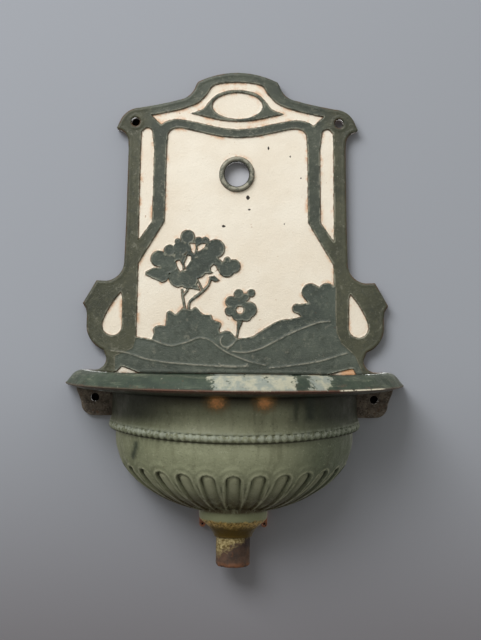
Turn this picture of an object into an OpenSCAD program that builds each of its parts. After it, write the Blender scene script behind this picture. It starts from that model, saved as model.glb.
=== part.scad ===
// Cast-iron wall fountain: a painted relief back plate bolted onto a half-round basin.
// Origin: midway between the basin's two wall holes, on the wall plane (Y = 0).
// +Z is up and the fountain stands out from the wall towards -Y. Sizes are in millimetres.

/* [Basin] */
// Radius of the sharp rim lip
lip_r = 211.5; // [150:0.5:260]
// Height of the rim's top above the wall holes
rim_z = 30.5; // [20:0.5:40]
// Radius of the rim's top edge
crest_r = 192; // [140:0.5:240]
// Outer radius of the upper bowl wall
wall_r = 153; // [110:0.5:190]
// Outer radius of the lower bowl
bowl_r = 148; // [105:0.5:185]
// Height at which the bowl's bottom starts to round
bowl_z = -56; // [-80:1:-50]
// Depth of the full rounded bottom below that height
bowl_depth = 86; // [60:0.5:110]
// Fullness of the rounded bottom: 2 makes an ellipse
bowl_power = 1.8; // [1.5:0.05:2.5]
// Height of the bead row's centre
bead_z = -38.3; // [-45:0.1:-30]
// Thickness of the basin's castings
basin_t = 6.5; // [4:0.5:9]
// Thickness of the basin's flat back
back_t = 6; // [4:0.5:9]
// Depth of the ledge along the top of that back, on which the plate stands
ledge_t = 13; // [13:0.5:20]
// Number of beads in the row under the rim
beads = 52; // [24:2:80]
// Number of gadroons around the bowl's bottom
gadroons = 13; // [5:2:21]
// Distance between the two wall holes in the basin's ears
ear_span = 349.6; // [300:0.1:400]

/* [Drain] */
// Distance from the wall to the drain's axis
drain_y = 28; // [24:0.5:40]
// Outer radius of the drain pipe
pipe_r = 21.2; // [16:0.1:26]
// Wall thickness of the drain pipe
pipe_t = 3.2; // [2:0.1:5]
// How much thinner the pipe is where it screws into the neck
thread_step = 0.6; // [0.2:0.1:1]
// Height of the drain pipe's open end
pipe_end = -205; // [-260:1:-190]
// Radius of the loose strainer
strainer_r = 14; // [12:0.1:18]

/* [Back plate] */
// Depth of the plate from the wall to its raised ribs
plate_t = 12.5; // [8:0.5:18]
// Depth of the sunk panels below the ribs
panel_d = 2.5; // [1:0.1:4]
// Depth of the hollow behind the plate
hollow_d = 6; // [3:0.5:8]
// Height of the tap hole's centre
tap_z = 280.6; // [240:0.1:310]
// Radius of the tap hole
tap_r = 15.3; // [8:0.1:18]
// Distance between the two wall holes in the plate's ears
hole_span = 254.2; // [220:0.1:280]
// Height of those two wall holes
hole_z = 345; // [320:0.5:360]

/* [Fasteners] */
// Radius of every wall hole
screw_r = 5.25; // [3:0.05:7]
// Radius of the bolts that join the plate to the basin
bolt_r = 4; // [3:0.5:5]
// Distance between the two joining bolts
bolt_span = 200; // [160:1:240]
// Height of the joining bolts
bolt_z = 12; // [10:0.5:16]

/* [Hidden] */
$fn = 64;
iron_green = [0.30, 0.36, 0.29];
iron_dark = [0.25, 0.29, 0.26];
rust = [0.30, 0.20, 0.14];
steel = [0.45, 0.43, 0.40];
floor_z = bowl_z - 74;
seat_z = floor_z - 4;
socket_z = floor_z - 20;
neck_end = floor_z - 40;
lug_w = 26;
lug_foot = bolt_z - 10;
washer_t = 1.6;
nut_t = 6.5;
bore_gap = 0.3;

// ---------- paths ----------

// Points along a circular arc in a plane, from angle a to angle b.
function arc(cx, cy, r, a, b, n = 6) =
    [for (i = [0:n]) [cx + r * cos(a + (b - a) * i / n), cy + r * sin(a + (b - a) * i / n)]];

// One point of a Catmull-Rom curve between b and c.
function between(a, b, c, d, t) =
    0.5 * (2 * b + (c - a) * t + (2 * a - 5 * b + 4 * c - d) * t * t
           + (3 * b - a - 3 * c + d) * t * t * t);

// A smooth open curve through the points p, with n steps from each point to the next.
function curve(p, n = 3) =
    [for (i = [0:len(p) - 2], k = [0:n - 1])
        between(p[max(i - 1, 0)], p[i], p[i + 1], p[min(i + 2, len(p) - 1)], k / n),
     p[len(p) - 1]];

// The right half of an outline, closed by its mirror image in X = 0.
function both_sides(p) = concat(p, [for (i = [len(p) - 1:-1:0]) if (p[i][0] > 0.01) [-p[i][0], p[i][1]]]);

// An outline with its left and right exchanged.
function flipped(p) = [for (i = [len(p) - 1:-1:0]) [-p[i][0], p[i][1]]];

// ---------- outlines ----------

// Rounded bottom of a bowl of radius r and the given depth, as [radius, height], from step a to step b.
function bottom(r, depth, a, b) =
    [for (i = [a:b])
        let (t = 0.96 * sin(6 * i))
            [r * sqrt(1 - pow(t, bowl_power)), bowl_z - depth * t]];

// Outer profile of the bowl as [radius, height], from the rim's top to the bottom.
outer_profile = concat(
    curve([[crest_r, rim_z], [crest_r + 8, rim_z - 3], [lip_r - 5, rim_z - 7.8],
           [lip_r, rim_z - 11.7]], 2),
    [[lip_r - 14.5, rim_z - 16.4], [lip_r - 36, rim_z - 19.2], [wall_r, rim_z - 22]],
    curve([[wall_r, bead_z + 16], [wall_r + 0.9, bead_z + 10], [wall_r + 2.6, bead_z + 5.5]], 2),
    arc(wall_r - 2.5, bead_z, 4.2, 64, -76, 5),
    [[bowl_r, bead_z - 6]],
    bottom(bowl_r, bowl_depth, 0, 13),
    [[44, bowl_z - 82]]);

// Inner profile of the bowl, down to its flat floor.
inner_profile = concat(
    [[crest_r - 6.5, rim_z + 1], [crest_r - 6.5, rim_z], [crest_r - 15, rim_z - 6]],
    [[crest_r - 29, rim_z - 11.5], [wall_r - 1, rim_z - 15.5]],
    [[wall_r - basin_t, rim_z - 20], [wall_r - basin_t, bead_z - 4]],
    bottom(bowl_r - basin_t, bowl_depth - basin_t, 0, 12),
    [[49, floor_z]]);

// Right half of the back plate's outline, from its foot up to its apex.
plate_outline = concat(
    [[0, rim_z], [192.6, rim_z], [192.6, rim_z + 3.9]],
    arc(176, 49.6, 15.2, 270, 180),
    arc(153.5, 90, 32.5, 290, 360),
    [[185.6, 104], [186.6, 110.5], [191, 117.5], [174, 146.3]],
    arc(164.5, 170.5, 24.8, 265, 180),
    [[137.7, 223.5], [135.6, 311]],
    arc(151, 320, 15, 176, 98),
    [[150.7, 336.9]],
    arc(121.5, 335.3, 27.2, 26, 88),
    [[103, 366], [84, 370]],
    arc(77, 398.5, 25.8, 262, 196),
    arc(0, 296, 111.3, 63.4, 90));

// Right half of the hollow behind the plate.
hollow_outline = concat(
    [[0, 44], [152, 44], [153, 62], [172, 74], [175, 112], [166, 136], [146, 142]],
    [[131, 168], [128, 224], [126, 326], [110, 335], [109, 355], [70, 363], [46, 378]],
    arc(0, 296, 102, 65, 90, 4));

// Right half of the cream band under the arch.
top_band = concat(
    curve([[0, 394.8], [19, 393.5], [31, 389.8], [38, 379.8], [50.6, 368], [72.5, 360],
           [98.8, 354.2], [107, 353]], 2),
    [[95, 342]],
    curve([[90.6, 345.4], [73.8, 349], [45.6, 344], [21.9, 339], [0, 336.9]], 2));

// Right half of the pointed eye in that band.
eye = concat(
    curve([[0, 346], [20, 347.4], [46.3, 353], [59, 356]], 2),
    curve([[42.8, 362.3], [35.6, 371], [25.6, 380.4], [11.8, 385], [0, 386]], 2));

// Right half of the main panel's upper edge and side.
panel_top = concat(
    curve([[0, 325.6], [21.9, 327.4], [45, 332], [67.5, 336.8], [76, 336.8], [82.5, 334.6],
           [86, 330]], 2),
    [[87.6, 311], [89.3, 221], [121.6, 168]]);

// The ground under the trees, from right to left: a bank with bushes, a hill, and a scalloped bush.
ground = concat(
    arc(115, 137, 9.5, 42, 150),
    arc(94, 134, 11, 60, 240),
    arc(75.7, 113.5, 5.6, 60, 280),
    curve([[77, 102.3], [54.6, 98.5], [38.6, 89.8], [20, 77.9], [2.5, 75.4]], 2),
    [[-6.3, 84], [-18.8, 82.9], [-19, 94.8], [-27.8, 98.5], [-30.4, 104.8], [-40.4, 105.4]],
    [[-50.6, 114.4], [-66.8, 112.9], [-74.2, 105.4], [-81.7, 109], [-87, 101], [-87.6, 90.4]],
    [[-100, 89], [-103.7, 73.5], [-123, 76]]);

// Right half pieces beside the main panel.
side_strip = concat(
    [[121.9, 198], [120, 311], [119, 333]],
    arc(112, 331, 6, 20, 160, 4),
    [[103.8, 311], [105.6, 221]]);
teardrop = concat(
    [[142, 126], [142, 95]],
    arc(154, 90, 12, 180, 360),
    [[161.4, 104.8], [152.5, 119.8], [143.4, 131.4]]);
foot_corner = [[117, 31.5], [151.4, 31.5], [147, 38.5]];

// ---------- shared shapes ----------

// A slab of the given outline in the wall's plane, from y_back forward by depth.
module slab(outline, y_back, depth) {
    translate([0, y_back, 0])
        rotate([90, 0, 0])
            linear_extrude(depth)
                polygon(outline);
}

// A round bar along Y, from y_back forward by depth.
module bar(x, z, r, y_back, depth, r_front = undef) {
    translate([x, y_back, z])
        rotate([90, 0, 0])
            cylinder(h = depth, r1 = r, r2 = is_undef(r_front) ? r : r_front);
}

// A half turn about Z of the profile given as its child, on the room's side of the wall.
module half_turn() {
    rotate([0, 0, 180])
        rotate_extrude(angle = 180)
            children();
}

// The same child at x = span / 2 and mirrored at -span / 2.
module pair() {
    children();
    mirror([1, 0, 0])
        children();
}

// ---------- back plate ----------

// A crown or a bush made of round lobes, each given as [x, z, radius].
module lobes(list) {
    for (lobe = list)
        bar(lobe[0], lobe[1], lobe[2], panel_d - plate_t, panel_d);
}

module trees() {
    lobes([[-62, 203.5, 7.5], [-66, 186, 11], [-50, 170, 14], [-41, 196, 6], [-24, 189, 10.5],
           [-30, 172, 12], [-84, 184, 8], [-98, 177, 8.5], [-88, 166, 12], [-103, 157, 7],
           [-72, 152, 11], [-60, 143, 8], [-8, 164, 9], [3, 165, 7]]);
    lobes([[2.9, 131, 5], [19.2, 132, 4.4], [-5.7, 121, 6.3], [13, 121, 7], [16.9, 112, 8.8],
           [-6.8, 110, 6.3], [7, 104, 8.8]]);
    slab([[-65, 106], [-61.5, 106], [-63.5, 140], [-69, 140]], panel_d - plate_t, panel_d);
    slab([[-59.5, 106], [-56.5, 106], [-56, 120], [-37, 134], [-29, 150], [-33, 150], [-41, 137],
          [-59, 122]], panel_d - plate_t, panel_d);
    slab([[0.8, 74], [3, 74], [8.5, 100], [3.5, 100]], panel_d - plate_t, panel_d);
}

// Everything that is sunk into the front of the plate.
module panels() {
    front = panel_d - plate_t;
    deep = panel_d + 1;
    slab(both_sides(top_band), front, deep);
    slab(concat(flipped(panel_top), panel_top, ground), front, deep);
    slab(foot_corner, front, deep);
    slab(flipped(foot_corner), front, deep);
    pair() {
        slab(side_strip, front, deep);
        slab(teardrop, front, deep);
    }
}

// Two lugs that hang in the pockets behind the basin's ledge and take the joining bolts.
module plate_lugs() {
    pair()
        difference() {
            translate([bolt_span / 2 - lug_w / 2, -back_t, lug_foot])
                cube([lug_w, back_t, rim_z + 2 - lug_foot]);
            bar(bolt_span / 2, bolt_z, bolt_r + bore_gap, 1, back_t + 2);
            bar(bolt_span / 2, bolt_z, 2 * bolt_r + bore_gap + 1, 1, bolt_r + 1, bolt_r + bore_gap);
        }
}

module back_plate() {
    color(iron_dark)
        difference() {
            union() {
                difference() {
                    slab(both_sides(plate_outline), 0, plate_t);
                    panels();
                }
                trees();
                slab(both_sides(eye), panel_d - plate_t, panel_d);
                bar(0, tap_z, 22, -hollow_d - 1, plate_t - hollow_d + 2.5);
                plate_lugs();
            }
            difference() {
                slab(both_sides(hollow_outline), 1, hollow_d + 1);
                bar(0, tap_z, 26, 2, hollow_d + 3);
            }
            translate([0, panel_d - plate_t, 365.8])
                rotate([90, 0, 0])
                    linear_extrude(panel_d + 1)
                        polygon([for (t = [0:15:345]) [31 * cos(t), 15.5 * sin(t)]]);
            bar(0, tap_z, tap_r, 1, plate_t + 5);
            bar(0, tap_z, tap_r, 1 - plate_t, 4.5, tap_r + 1.5);
            pair()
                bar(hole_span / 2, hole_z, screw_r, 1, plate_t + 2);
        }
}

// ---------- basin ----------

// The bowl and its flat back, before it is hollowed.
module bowl_solid() {
    half_turn()
        polygon(concat([[0, rim_z]], outer_profile, [[0, bowl_z - 77]]));
}

// The bowl's hollow, which leaves the flat back and the ledge along its top.
module bowl_hollow() {
    difference() {
        half_turn()
            polygon(concat([[0, rim_z + 1]], inner_profile, [[0, floor_z]]));
        translate([-lip_r, -back_t, floor_z - 1])
            cube([2 * lip_r, back_t + 1, rim_z - floor_z + 3]);
        translate([-lip_r, 0, 0])
            rotate([90, 0, 90])
                linear_extrude(2 * lip_r)
                    polygon([[0, -9], [-back_t, -9], [-ledge_t, 0], [-ledge_t, rim_z + 2], [0, rim_z + 2]]);
    }
}

// Pockets behind the ledge for the plate's lugs, and the holes for the joining bolts.
module lug_pockets() {
    pair() {
        translate([bolt_span / 2 - lug_w / 2 - 0.5, -back_t - 0.2, lug_foot - 0.5])
            cube([lug_w + 1, back_t + 2, rim_z + 2 - lug_foot]);
        bar(bolt_span / 2, bolt_z, bolt_r + bore_gap, -back_t + 1, ledge_t + 2);
    }
}

// Ears with the wall holes, under the ends of the rim.
module ears() {
    ear = concat([[wall_r - 8, 14], [199, 14], [197.5, 8]],
                 arc(176.8, -7.4, 15.2, 5, -90, 5),
                 [[wall_r - 8, -22.6]]);
    slab(ear, 0, back_t);
    slab(flipped(ear), 0, back_t);
}

// Two small drilled lugs beside the neck.
module neck_lugs() {
    lug = concat([[35, neck_end + 34]], arc(38.75, -157.3, 3.75, 180, 360), [[42.5, neck_end + 34]]);
    slab(lug, 0, back_t);
    slab(flipped(lug), 0, back_t);
}

// One gadroon in plan, pointing outwards along X: an arch that narrows towards the neck.
module gadroon_plan(inset) {
    half_w = 12.4 - inset;
    arch = [for (a = [-85:17:85]) [134 + 0.6 * half_w * cos(a), half_w * sin(a)]];
    polygon(concat([[46, inset - 4.8]], arch, [[46, 4.8 - inset]]));
}

// Raised arches around the bowl's bottom.
module gadroon_ring() {
    layer_out = bottom(bowl_r + 1.6, bowl_depth + 1.6, 2, 14);
    layer_in = bottom(bowl_r - 3, bowl_depth - 3, 2, 14);
    intersection() {
        half_turn()
            polygon(concat(layer_out, [for (i = [len(layer_in) - 1:-1:0]) layer_in[i]]));
        for (i = [1:gadroons])
            rotate([0, 0, -180 * i / (gadroons + 1)])
                translate([0, 0, -150])
                    linear_extrude(90)
                        difference() {
                            gadroon_plan(0);
                            gadroon_plan(3);
                        }
    }
}

module bead_row() {
    for (i = [0:beads - 1])
        rotate([0, 0, -180 * (i + 0.5) / beads])
            translate([wall_r - 0.3, 0, bead_z])
                sphere(r = 4.2);
}

// Bell-shaped neck around the drain, cut flat at the wall.
module neck() {
    bell = curve([[42, neck_end + 24.5], [40.4, neck_end + 19.5], [34.8, neck_end + 14],
                  [28.6, neck_end + 8.5], [24.2, neck_end + 3], [23.6, neck_end]], 2);
    difference() {
        translate([0, -drain_y, 0])
            rotate_extrude()
                polygon(concat([[0, floor_z - 0.4], [42, floor_z - 0.4]], bell, [[0, neck_end]]));
        translate([-50, 0, neck_end - 1])
            cube([100, 50, 60]);
    }
}

module drain_bore() {
    translate([0, -drain_y, neck_end - 1])
        cylinder(h = socket_z - neck_end + 1, r = pipe_r - thread_step + 0.05);
    translate([0, -drain_y, socket_z - 1])
        cylinder(h = 30, r = strainer_r - 2.5);
    translate([0, -drain_y, seat_z])
        cylinder(h = 10, r = strainer_r + 0.5);
}

module basin() {
    color(iron_green)
        difference() {
            union() {
                bowl_solid();
                ears();
                neck_lugs();
                gadroon_ring();
                bead_row();
                neck();
            }
            bowl_hollow();
            drain_bore();
            lug_pockets();
            pair() {
                bar(ear_span / 2, 0, screw_r, 1, back_t + 2);
                bar(38.75, -157.3, 1.6, 1, back_t + 2);
            }
        }
}

// ---------- drain ----------

// Iron pipe stub with a screwed upper end and a worn, rounded lower edge.
module drain_pipe() {
    bore = pipe_r - pipe_t;
    worn_edge = [for (a = [0:18:90]) [pipe_r - 2.4 * (1 - cos(a)), pipe_end + 4 * (1 - sin(a))]];
    color(rust)
        translate([0, -drain_y, 0])
            rotate_extrude()
                polygon(concat(worn_edge, [[bore, pipe_end], [bore, socket_z]],
                               [[pipe_r - thread_step, socket_z], [pipe_r - thread_step, neck_end]],
                               [[pipe_r, neck_end]]));
}

// Loose perforated grate with a finger knob.
module drain_strainer() {
    color(rust)
        translate([0, -drain_y, seat_z])
            difference() {
                union() {
                    cylinder(h = 3, r = strainer_r);
                    cylinder(h = 8, r = 2);
                    translate([0, 0, 9.5])
                        sphere(r = 3.2);
                }
                for (a = [0:60:300])
                    rotate([0, 0, a])
                        translate([5, 0, -1])
                            cylinder(h = 5, r = 1.5);
                for (a = [0:30:330])
                    rotate([0, 0, a])
                        translate([9.6, 0, -1])
                            cylinder(h = 5, r = 1.5);
            }
}

// ---------- fasteners ----------

// Countersunk bolts, put in from the wall side.
module plate_bolts() {
    color(steel)
        pair()
            union() {
                bar(bolt_span / 2, bolt_z, 2 * bolt_r, 0, bolt_r, bolt_r);
                bar(bolt_span / 2, bolt_z, bolt_r, -bolt_r, ledge_t + washer_t + nut_t + 3 - bolt_r);
            }
}

module plate_washers() {
    color(steel)
        pair()
            difference() {
                bar(bolt_span / 2, bolt_z, 8.5, -ledge_t, washer_t);
                bar(bolt_span / 2, bolt_z, bolt_r + bore_gap, 1 - ledge_t, washer_t + 2);
            }
}

// Square nuts.
module plate_nuts() {
    color(steel)
        pair()
            difference() {
                translate([bolt_span / 2 - 6.5, -ledge_t - washer_t - nut_t, bolt_z - 6.5])
                    cube([13, nut_t, 13]);
                bar(bolt_span / 2, bolt_z, bolt_r + 0.05, 1 - ledge_t - washer_t, nut_t + 2);
            }
}

back_plate();
basin();
drain_pipe();
drain_strainer();
plate_bolts();
plate_washers();
plate_nuts();
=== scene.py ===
import math

import bmesh
import bpy
import numpy as np
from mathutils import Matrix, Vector
from mathutils.geometry import tessellate_polygon


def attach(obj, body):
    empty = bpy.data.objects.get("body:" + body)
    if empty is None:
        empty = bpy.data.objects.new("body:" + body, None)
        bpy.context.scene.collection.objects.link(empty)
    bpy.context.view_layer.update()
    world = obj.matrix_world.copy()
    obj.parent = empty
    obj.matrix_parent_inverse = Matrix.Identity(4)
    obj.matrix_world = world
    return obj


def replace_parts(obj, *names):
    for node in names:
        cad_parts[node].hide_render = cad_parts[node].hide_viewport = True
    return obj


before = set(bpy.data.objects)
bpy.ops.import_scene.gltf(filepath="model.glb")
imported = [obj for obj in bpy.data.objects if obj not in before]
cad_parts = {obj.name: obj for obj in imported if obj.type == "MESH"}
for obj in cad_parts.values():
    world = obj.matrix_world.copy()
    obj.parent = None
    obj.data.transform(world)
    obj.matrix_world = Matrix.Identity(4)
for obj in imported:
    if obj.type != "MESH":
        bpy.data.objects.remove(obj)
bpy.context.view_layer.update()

# All shape code below works in millimetres, with X to the right, Z up and the room towards -Y.
MM = 0.001

# Back plate
PLATE_T = 12.5      # wall to the top of the ribs
PANEL_Y = -10.0     # the sunk cream panels
RIB_H = PLATE_T + PANEL_Y
HOLLOW_D = 6.0      # hollow behind the plate
TAP_Z = 280.6
TAP_R = 15.3
TAP_RING_R = 22.0
GRID_PITCH = 1.15   # cells of the plate's relief
GRID_SPAN = (-194.5, 194.5, 29.0, 409.0)    # the plate's box with a margin, as x0, x1, z0, z1
PLATE_HOLES = ((-127.1, 345.0), (127.1, 345.0))
SCREW_R = 5.25

# Basin
RIM_Z = 30.5
CREST_R = 192.0
LIP_R = 211.5
LIP_Z = 18.8
WALL_R = 153.0
BOWL_R = 148.0
BOWL_Z = -56.0
BOWL_DEPTH = 86.0
BOWL_POWER = 1.8    # fullness of the rounded bottom: 2 makes an ellipse
BASIN_T = 6.5
BACK_T = 6.0
LEDGE_T = 13.0      # the plate stands on this ledge
FLOOR_Z = -130.0
EAR_X = 174.8
BEADS = 52
BEAD_Z = -38.3
BEAD_R = 152.7      # radius of the row of beads
BEAD_BALL_R = 4.25
GADROONS = 13
ARCH_Z = -82.0      # tops of the flutes' arches
ARCH_R = 9.3
FLUTED_Z = -60.0    # the flutes' relief is below this
SWEEP = 7.0         # how far the row of beads sweeps up towards the wall
CREST_RISE = 5.0    # how far the crest stands above the plate's foot, in front of the plate

# Drain
DRAIN_Y = -28.0
PIPE_R = 21.2
PIPE_END = -205.0
NECK_END = -168.4
SOCKET_Z = -150.0
SEAT_Z = -134.0
SEAT_R = 14.5
THROAT_R = 11.5
NECK_LUG_X = 38.75
NECK_LUG_Z = -157.3
NECK_LUG_R = 3.75

# Joining bolts between the plate's lugs and the basin's ledge
BOLT_X = 100.0
BOLT_Z = 12.0
BOLT_HOLE_R = 4.3
LUG_W = 26.0
LUG_FOOT = 2.0
POCKET_T = 6.2      # depth of the pocket behind the ledge that takes a lug
POCKET_GAP = 0.5

# Pieces of one casting overlap; this keeps their faces at the wall from lying in the same plane.
FACE_GAP = 0.1

# Distances in millimetres that paint attributes hold where the feature is far away.
NO_FLUTE = -30.0
FAR = 30.0


# ---------------------------------------------------------------- plane curves

def arc(cx, cz, r, a0, a1, n=10):
    """Points along a circular arc from angle a0 to a1 in degrees."""
    return [(cx + r * math.cos(math.radians(a0 + (a1 - a0) * i / n)),
             cz + r * math.sin(math.radians(a0 + (a1 - a0) * i / n))) for i in range(n + 1)]


def curve(points, n=6):
    """A smooth open Catmull-Rom curve through the points."""
    p = np.array(points, float)
    out = []
    for i in range(len(p) - 1):
        a, b, c, d = p[max(i - 1, 0)], p[i], p[i + 1], p[min(i + 2, len(p) - 1)]
        for k in range(n):
            t = k / n
            q = 0.5 * (2 * b + (c - a) * t + (2 * a - 5 * b + 4 * c - d) * t ** 2
                       + (3 * b - a - 3 * c + d) * t ** 3)
            out.append(tuple(q))
    out.append(tuple(p[-1]))
    return out


def both_sides(half):
    """A closed outline from its right half and that half's mirror image."""
    return list(half) + [(-x, z) for x, z in reversed(half) if x > 0.01]


def flipped(points):
    """An outline's mirror image, with the same turning direction."""
    return [(-x, z) for x, z in reversed(points)]


def circle(cx, cz, r, n=48):
    return arc(cx, cz, r, 0, 360 - 360 / n, n - 1)


def path_distance(p, path, closed=False):
    """Distance from each point to a polyline."""
    best = np.full(len(p), 1e9)
    ends = path[1:] + path[:1] if closed else path[1:]
    for a, b in zip(path, ends):
        a, b = np.array(a, float), np.array(b, float)
        ab = b - a
        length2 = max(float(ab @ ab), 1e-12)
        t = np.clip(((p - a) @ ab) / length2, 0, 1)
        gap = p - a - t[:, None] * ab
        best = np.minimum(best, np.einsum("ij,ij->i", gap, gap))
    return np.sqrt(best)


def inside(p, outline):
    """Even-odd test of each point against a closed outline."""
    hit = np.zeros(len(p), bool)
    for (x1, z1), (x2, z2) in zip(outline, outline[1:] + outline[:1]):
        if z1 == z2:
            continue
        crosses = (z1 > p[:, 1]) != (z2 > p[:, 1])
        hit ^= crosses & (p[:, 0] < (x2 - x1) * (p[:, 1] - z1) / (z2 - z1) + x1)
    return hit


def depth_in(p, outline):
    """Signed distance to a closed outline, positive inside."""
    return path_distance(p, outline, closed=True) * np.where(inside(p, outline), 1.0, -1.0)


def depth_in_circle(p, cx, cz, r):
    return r - np.hypot(p[:, 0] - cx, p[:, 1] - cz)


def ramp(d, width):
    """0 below zero, 1 above width, smooth between."""
    t = np.clip(d / width, 0, 1)
    return t * t * (3 - 2 * t)


def bump_at(d, centre, width):
    return np.exp(-((d - centre) / width) ** 2)


# ---------------------------------------------------------------- lattice noise

HASH_PRIMES = np.array([374761393, 668265263, 2147483647])


def noise3(p, wavelength, seed):
    """Smooth value noise from -1 to 1 at each point, the same on every run."""
    q = np.asarray(p, float) / wavelength
    base = np.floor(q).astype(np.int64)
    f = q - base
    f = f * f * (3 - 2 * f)
    total = np.zeros(len(q))
    for corner in range(8):
        step = np.array([corner & 1, corner >> 1 & 1, corner >> 2 & 1])
        h = ((base + step) @ HASH_PRIMES + seed * 974711) & 0xFFFFFFFF
        h = ((h ^ (h >> 13)) * 1274126177) & 0xFFFFFFFF
        h = (h ^ (h >> 16)) & 0xFFFF
        weight = np.prod(np.where(step, f, 1 - f), axis=1)
        total += weight * (h / 32767.5 - 1)
    return total


def rough3(p, wavelength, seed, octaves=3):
    """Noise in octaves, each half the size and strength of the one before."""
    total = np.zeros(len(p))
    for k in range(octaves):
        total += noise3(p, wavelength / 2 ** k, seed + k) / 2 ** k
    return total


# ---------------------------------------------------------------- meshes

def face_outward(mesh):
    """Points every face of a closed mesh outwards."""
    bm = bmesh.new()
    bm.from_mesh(mesh)
    bmesh.ops.recalc_face_normals(bm, faces=bm.faces)
    bm.to_mesh(mesh)
    bm.free()


def make_piece(name, verts, faces, material, attributes=None, sharp=38.0):
    """A piece of the fountain from millimetre vertices, shaded smooth below the sharp angle."""
    mesh = bpy.data.meshes.new(name)
    mesh.from_pydata([tuple(v) for v in np.asarray(verts, float) * MM], [], [tuple(f) for f in faces])
    for key, values in (attributes or {}).items():
        layer = mesh.attributes.new(key, "FLOAT", "POINT")
        layer.data.foreach_set("value", np.asarray(values, np.float32))
    mesh.validate()
    mesh.shade_smooth()
    mesh.set_sharp_from_angle(angle=math.radians(sharp))
    mesh.materials.append(material)
    obj = bpy.data.objects.new(name, mesh)
    bpy.context.scene.collection.objects.link(obj)
    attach(obj, "fountain")
    face_outward(mesh)
    return obj


class Shell:
    """Collects vertices and faces of one piece."""

    def __init__(self):
        self.verts = []
        self.faces = []

    def add(self, points):
        start = len(self.verts)
        self.verts.extend([tuple(map(float, q)) for q in points])
        return list(range(start, len(self.verts)))

    def strip(self, a, b, closed=False):
        """Quads between two rows of vertex numbers."""
        for i in range(0 if closed else 1, len(a)):
            self.faces.append((a[i - 1], a[i], b[i], b[i - 1]))

    def rows(self, rows, closed=False):
        for a, b in zip(rows, rows[1:]):
            self.strip(a, b, closed)

    def fill(self, loops, level=False):
        """Cap over an outer loop of vertex numbers and any holes in it, upright unless it is level."""
        flat = [i for loop in loops for i in loop]
        across = 1 if level else 2
        polys = [[Vector((self.verts[i][0], self.verts[i][across], 0)) for i in loop] for loop in loops]
        for a, b, c in tessellate_polygon(polys):
            self.faces.append((flat[a], flat[b], flat[c]))

    def merge(self, other):
        start = len(self.verts)
        self.verts.extend(other.verts)
        self.faces.extend(tuple(i + start for i in f) for f in other.faces)

    def points(self):
        return np.array(self.verts)


# ---------------------------------------------------------------- back plate: outlines

PLATE_OUTLINE = both_sides(
    [(0, RIM_Z), (192.6, RIM_Z), (192.6, RIM_Z + 3.9)]
    + arc(176, 49.6, 15.2, 270, 180)
    + arc(153.5, 90, 32.5, 290, 360, 16)
    + [(185.6, 104), (186.6, 110.5), (191, 117.5), (174, 146.3)]
    + arc(164.5, 170.5, 24.8, 265, 180, 14)
    + [(137.7, 223.5), (135.6, 311)]
    + arc(151, 320, 15, 176, 98)
    + [(150.7, 336.9)]
    + arc(121.5, 335.3, 27.2, 26, 88, 14)
    + [(103, 366), (84, 370)]
    + arc(77, 398.5, 25.8, 262, 196, 14)
    + arc(0, 296, 111.3, 63.4, 90, 14))

TOP_BAND = both_sides(
    curve([(0, 394.8), (19, 393.5), (31, 389.8), (38, 379.8), (50.6, 368), (72.5, 360),
           (98.8, 354.2), (107, 353)])
    + [(95, 342)]
    + curve([(90.6, 345.4), (73.8, 349), (45.6, 344), (21.9, 339), (0, 336.9)]))

EYE = both_sides(
    curve([(0, 346), (20, 347.4), (46.3, 353), (59, 356)])
    + curve([(50.6, 359), (42.8, 362.3), (35.6, 371), (25.6, 380.4), (11.8, 385), (0, 386)]))

# Upper edge and right side of the main panel.
PANEL_TOP = (
    curve([(0, 325.6), (21.9, 327.4), (45, 332), (67.5, 336.8), (76, 336.8), (82.5, 334.6), (86, 330)])
    + [(87.6, 311), (89.3, 221), (121.6, 168)])

# Skyline from the right bank with its bushes, down the hill, to the scalloped bush on the left.
SKYLINE = (
    arc(114, 135.4, 10.6, 38, 150)
    + arc(93.5, 134.1, 11.2, 60, 215)
    + [(90.5, 120.5), (82.5, 119.5)]
    + arc(76.9, 113.5, 6.3, 70, 275)
    + [(81.5, 103.5)]
    + curve([(77, 102.3), (67, 100.4), (54.6, 98.5), (38.6, 89.8), (28.6, 82.9), (20, 77.9),
             (2.5, 75.4)])
    + curve([(-6.3, 84), (-12, 85), (-18.8, 82.9)], 3)
    + curve([(-20, 86), (-17.6, 92), (-19.5, 95.5), (-27.8, 98.5)], 3)
    + curve([(-30.4, 104.8), (-40.4, 105.4), (-46, 111), (-50.6, 114.4), (-55, 111)], 3)
    + curve([(-66.8, 112.9), (-74.2, 105.4), (-78, 107), (-81.7, 109.5), (-86, 107), (-86.5, 100),
             (-87.6, 90.4)], 3)
    + curve([(-95, 91.4), (-100, 89.5), (-103, 86), (-102, 80), (-104.5, 73.5)], 3)
    + [(-114, 75), (-123.6, 76.3)])

MAIN_PANEL = flipped(PANEL_TOP) + PANEL_TOP[1:] + SKYLINE

# The relief landscape below the skyline, lower than the ribs at both sides.
LAND = SKYLINE + [(-124, 76), (-128, 62), (-150, 52), (-150, 20), (165, 20), (150, 55), (133, 70),
                  (126.5, 84), (124.8, 110), (124.8, 141)]

SIDE_STRIP = ([(121.9, 198), (120, 311), (119, 333)] + arc(112, 331, 6, 20, 160)
              + [(103.8, 311), (105.6, 221)])
TEARDROP = ([(142, 126), (142, 95)] + arc(154, 90, 12, 180, 360, 20)
            + curve([(165.8, 93), (161.4, 104.8), (152.5, 119.8), (143.4, 131.4)]))
FOOT_CORNERS = ([(117, 31), (152, 31), (147.5, 38.5), (143, 38)],
                [(-120, 31), (-152, 31), (-147, 33), (-141.5, 38.8), (-138, 38)])

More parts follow.
